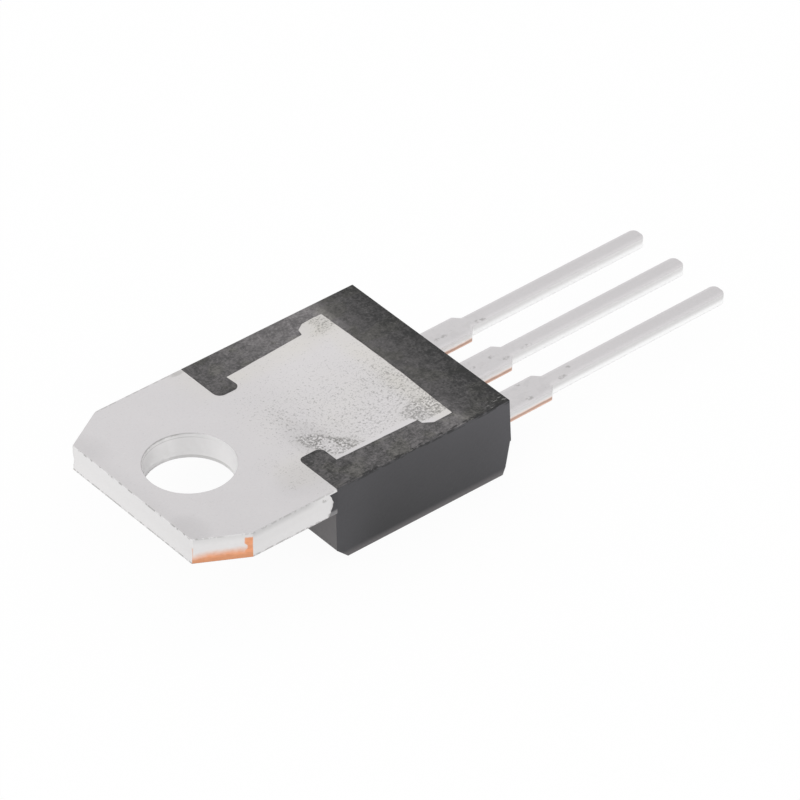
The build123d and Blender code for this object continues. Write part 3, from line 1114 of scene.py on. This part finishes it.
def body_profile(body, tab):
    """The moulding seen from its side, as (x, z) from the back's tab edge round to the tab."""
    bevel_z = body_low.z + body.tab_face_bevel
    under_x = tab.notch_start_x + body.tab_face_step
    tab_face_x = under_x - (tab.thickness + bevel_z) * math.tan(body.tab_face_draft)
    lower_z = body_low.z + body.front_bevel_z
    parting_x = body_high.x + body.parting_step
    lower_x = parting_x - (body.parting_z - lower_z) * math.tan(body.lower_draft)
    return [
        (tab.notch_start_x, 0.0),
        (body.lead_face_top_x, 0.0),
        (parting_x, body.parting_z),
        (lower_x, lower_z),
        (lower_x - body.front_bevel_x, body_low.z),
        (tab_face_x + body.tab_face_bevel, body_low.z),
        (tab_face_x, bevel_z),
        (under_x, -tab.thickness),
    ]


def pocket_rim(body, tab):
    """Where the moulding ends on the bare metal. Its edge wavers, and just covers the seam."""
    outline = divided(rounded(bare_metal_corners(tab)))
    covered = moved_in(outline, body.rim_cover, body.rim_waver)
    rim = []
    for nominal, point in zip(outline, covered):
        past_start = nominal.x - tab.notch_start_x
        if past_start > HAIR:
            rim.append(point)
        elif abs(past_start) < HAIR and abs(nominal.y) < tab.half_width:
            rim.append(Vector((tab.notch_start_x, point.y)))
    return rim


def flash_skin(mesh, body, tab, side, steps=16):
    """A thin skin of flash on one side of the tab, with a ragged hollow edge."""
    top_z = body.flash_top_z
    bottom_z = body.flash_gap - tab.thickness
    hollow = body.flash_middle_x - (body.flash_upper_x + body.flash_lower_x) / 2
    corners = []
    for step in range(steps + 1):
        part = step / steps
        x = body.flash_upper_x + (body.flash_lower_x - body.flash_upper_x) * part
        x += hollow * 4 * part * (1 - part)
        x += noise.noise(Vector((part * 6, side, 0))) * body.flash_waver
        corners.append((x, top_z + (bottom_z - top_z) * part))
    corners += [(tab.notch_start_x, bottom_z), (tab.notch_start_x, top_z)]
    inner_y = body_high.y - body.flash_thickness
    outer = [mesh.verts.new((x, side * body_high.y, z)) for x, z in corners]
    inner = [mesh.verts.new((x, side * inner_y, z)) for x, z in corners]
    mesh.faces.new(outer)
    mesh.faces.new(inner)
    for i in range(len(outer)):
        j = (i + 1) % len(outer)
        mesh.faces.new((outer[i], outer[j], inner[j], inner[i]))


def body_shell(mesh, body, tab):
    """The moulding's outside, with the pocket that holds the plate open at the back."""
    lean = math.tan(body.side_draft)
    near, far = [], []
    for x, z in body_profile(body, tab):
        half_width = body_high.y + z * lean
        near.append(mesh.verts.new((x, -half_width, z)))
        far.append(mesh.verts.new((x, half_width, z)))
    back_tab, under_tab = 0, len(near) - 1
    rim = pocket_rim(body, tab)
    upper = [mesh.verts.new((point.x, point.y, 0.0)) for point in rim]
    lower = []
    for point in rim:
        at_face = abs(point.x - tab.notch_start_x) < HAIR
        x = point.x + body.tab_face_step if at_face else point.x
        lower.append(mesh.verts.new((x, point.y, -tab.thickness)))
    rim_top = [near[back_tab], *upper, far[back_tab]]
    rim_bottom = [near[under_tab], *lower, far[under_tab]]
    for i in range(len(rim_top) - 1):
        mesh.faces.new((rim_top[i], rim_top[i + 1], rim_bottom[i + 1], rim_bottom[i]))
    mesh.faces.new([near[back_tab], near[1], far[1], far[back_tab], *reversed(upper)])
    mesh.faces.new(lower)
    mesh.faces.new(reversed(near))
    mesh.faces.new(far)
    for i in range(1, under_tab - 1):
        mesh.faces.new((near[i], near[i + 1], far[i + 1], far[i]))
    bevel = under_tab - 1
    mesh.faces.new(
        (near[bevel], near[under_tab], lower[0], lower[-1], far[under_tab], far[bevel])
    )
    for side in (-1, 1):
        flash_skin(mesh, body, tab, side)
    bmesh.ops.recalc_face_normals(mesh, faces=mesh.faces)
    return near, far


def weight_edges(mesh, near, far, body):
    """Stores how much each outer edge is rounded, and returns the widest rounding."""
    weight = mesh.edges.layers.float.new("bevel_weight_edge")
    widest = body.lower_edge_radius
    profile_radii = (
        body.other_edge_radius,  # long edge of the back
        body.upright_edge_radius,  # lead face, above the parting line
        body.lower_edge_radius,  # lead face, below the parting line
        body.lower_edge_radius,  # front bevel
        body.long_edge_radius,  # long edge of the front
        body.other_edge_radius,  # bevel of the tab face
        body.other_edge_radius,  # tab face
    )

    def set_radius(first, second, radius):
        edge = mesh.edges.get((first, second))
        edge[weight] = radius / widest

    for i, radius in enumerate(profile_radii):
        for side in (near, far):
            set_radius(side[i], side[i + 1], radius)
    for i in range(1, len(profile_radii)):
        set_radius(near[i], far[i], body.other_edge_radius)
    return widest


def round_edges(piece, body, widest):
    """Rounds the weighted edges, and keeps the flat faces flat to the light."""
    rounding = piece.modifiers.new("rounded_edges", "BEVEL")
    rounding.limit_method = "WEIGHT"
    rounding.width = widest
    rounding.segments = 4
    evaluated = piece.evaluated_get(bpy.context.evaluated_depsgraph_get())
    data = bpy.data.meshes.new_from_object(evaluated)
    piece.modifiers.clear()
    piece.data = data
    data.shade_smooth()
    data.set_sharp_from_angle(angle=body.crease)
    weighted = piece.modifiers.new("flat_faces", "WEIGHTED_NORMAL")
    weighted.keep_sharp = True


class TRIAC_OT_body(bpy.types.Operator):
    """Build the moulded body round the metal"""

    bl_idname = "triac.body"
    bl_label = "Moulded body"

    def execute(self, context):
        body = context.scene.triac_body
        tab = context.scene.triac_tab
        mesh = bmesh.new()
        near, far = body_shell(mesh, body, tab)
        widest = weight_edges(mesh, near, far, body)
        material = moulding_finish(context.scene.triac_finish)
        piece = show(mesh, "black_moulded_body", "moulded_body", material)
        round_edges(piece, body, widest)
        return {"FINISHED"}


# Chip and wires ---------------------------------------------------------------------------


class TRIAC_OT_chip(bpy.types.Operator):
    """Finish the sealed chip, its solder and its bond wires"""

    bl_idname = "triac.chip"
    bl_label = "Chip and wires"

    def execute(self, context):
        finish = context.scene.triac_finish
        solder = plain_finish("die_attach_solder", finish.solder, 1.0, 0.45, 4.0)
        silicon = plain_finish("polished_silicon", finish.silicon, 0.6, 0.18, 6.0)
        aluminium = plain_finish("bonding_aluminium", finish.aluminium, 1.0, 0.35, 8.0)
        finishes = {
            "die_solder": solder,
            "triac_die": silicon,
            "terminal_1_wire_inner": aluminium,
            "terminal_1_wire_outer": aluminium,
            "gate_wire": aluminium,
        }
        for node, material in finishes.items():
            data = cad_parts[node].data
            data.materials.clear()
            data.materials.append(material)
        return {"FINISHED"}


# Stage ------------------------------------------------------------------------------------


def white_surround(scene, stage):
    """A plain white surround: full white where it is seen, a little less as light."""
    scene.world = bpy.data.worlds.new("white_surround")
    shader = Shader(scene.world)
    strength = shader.seen_directly() * (1 - stage.surround) + stage.surround
    light = shader.node("ShaderNodeBackground", None, {"Color": WHITE, "Strength": strength})
    shader.node("ShaderNodeOutputWorld", None, {"Surface": light})


def white_floor(stage):
    """A pale floor under the part. It shows white, and keeps a faint shadow."""
    bpy.ops.mesh.primitive_plane_add(size=stage.floor_size, location=(0, 0, body_low.z))
    floor = bpy.context.object
    floor.name = "floor"
    shader = Shader(bpy.data.materials.new("white_floor"))
    matt = shader.node("ShaderNodeBsdfDiffuse", None, {"Color": rgba(stage.floor_colour)})
    glow = shader.node("ShaderNodeEmission", None, {"Color": WHITE, "Strength": 1.0})
    share = shader.seen_directly() * stage.floor_glow
    mixed = shader.node("ShaderNodeMixShader", None, {0: share, 1: matt, 2: glow})
    shader.node("ShaderNodeOutputMaterial", None, {"Surface": mixed})
    floor.data.materials.append(shader.owner)


def soft_lamp(scene, stage):
    """A square soft lamp by the tab, which shines at the part."""
    light = bpy.data.lights.new("key_lamp", "AREA")
    light.size = stage.lamp_size
    light.energy = stage.lamp_power
    lamp = bpy.data.objects.new("key_lamp", light)
    lamp.location = stage.lamp_place
    lamp.rotation_euler = (-Vector(stage.lamp_place)).to_track_quat("-Z", "Y").to_euler()
    scene.collection.objects.link(lamp)


def long_camera(scene, stage):
    """The camera, at a long focal length, looking down on the tab's near corner."""
    camera = bpy.data.objects.new("camera", bpy.data.cameras.new("camera"))
    scene.collection.objects.link(camera)
    sideways = Vector((math.sin(stage.azimuth), -math.cos(stage.azimuth), 0))
    back = sideways * math.cos(stage.elevation) + UP * math.sin(stage.elevation)
    across = (-back).cross(UP).normalized()
    above = across.cross(-back)
    pivot = Vector((stage.pivot_x, 0, stage.pivot_z))
    camera.location = pivot + back * stage.distance
    target = pivot + across * stage.aim_across + above * stage.aim_above
    camera.rotation_euler = (target - camera.location).to_track_quat("-Z", "Y").to_euler()
    camera.data.lens = stage.focal_length
    camera.data.clip_start = stage.nearest
    camera.data.clip_end = stage.farthest
    scene.camera = camera


class TRIAC_OT_stage(bpy.types.Operator):
    """Set the floor, the white surround, the lamp and the camera"""

    bl_idname = "triac.stage"
    bl_label = "Stage"

    def execute(self, context):
        scene = context.scene
        stage = scene.triac_stage
        scene.view_settings.view_transform = "Standard"
        white_surround(scene, stage)
        white_floor(stage)
        soft_lamp(scene, stage)
        long_camera(scene, stage)
        return {"FINISHED"}


# Add-on -----------------------------------------------------------------------------------

SETTINGS = {
    "triac_tab": TabSettings,
    "triac_lead": LeadSettings,
    "triac_body": BodySettings,
    "triac_finish": FinishSettings,
    "triac_stage": StageSettings,
}
OPERATORS = (TRIAC_OT_tab, TRIAC_OT_outer_leads, TRIAC_OT_body, TRIAC_OT_chip, TRIAC_OT_stage)


class TRIAC_PT_sidebar(bpy.types.Panel):
    """The pieces of the triac, with the settings that they are built from"""

    bl_idname = "TRIAC_PT_sidebar"
    bl_label = "Tabbed Power Triac"
    bl_space_type = "VIEW_3D"
    bl_region_type = "UI"
    bl_category = "Triac"

    def draw(self, context):
        layout = self.layout
        for operator in OPERATORS:
            layout.operator(operator.bl_idname)
        for name, settings in SETTINGS.items():
            box = layout.box()
            box.label(text=settings.__doc__)
            for key in settings.__annotations__:
                box.prop(getattr(context.scene, name), key)


def register():
    for settings in SETTINGS.values():
        bpy.utils.register_class(settings)
    for name, settings in SETTINGS.items():
        setattr(bpy.types.Scene, name, PointerProperty(type=settings))
    for operator in (*OPERATORS, TRIAC_PT_sidebar):
        bpy.utils.register_class(operator)


def unregister():
    for operator in (TRIAC_PT_sidebar, *reversed(OPERATORS)):
        bpy.utils.unregister_class(operator)
    for name in SETTINGS:
        delattr(bpy.types.Scene, name)
    for settings in SETTINGS.values():
        bpy.utils.unregister_class(settings)


def main():
    register()
    bpy.ops.triac.tab()
    bpy.ops.triac.outer_leads()
    bpy.ops.triac.body()
    bpy.ops.triac.chip()
    bpy.ops.triac.stage()


if __name__ == "__main__":
    main()
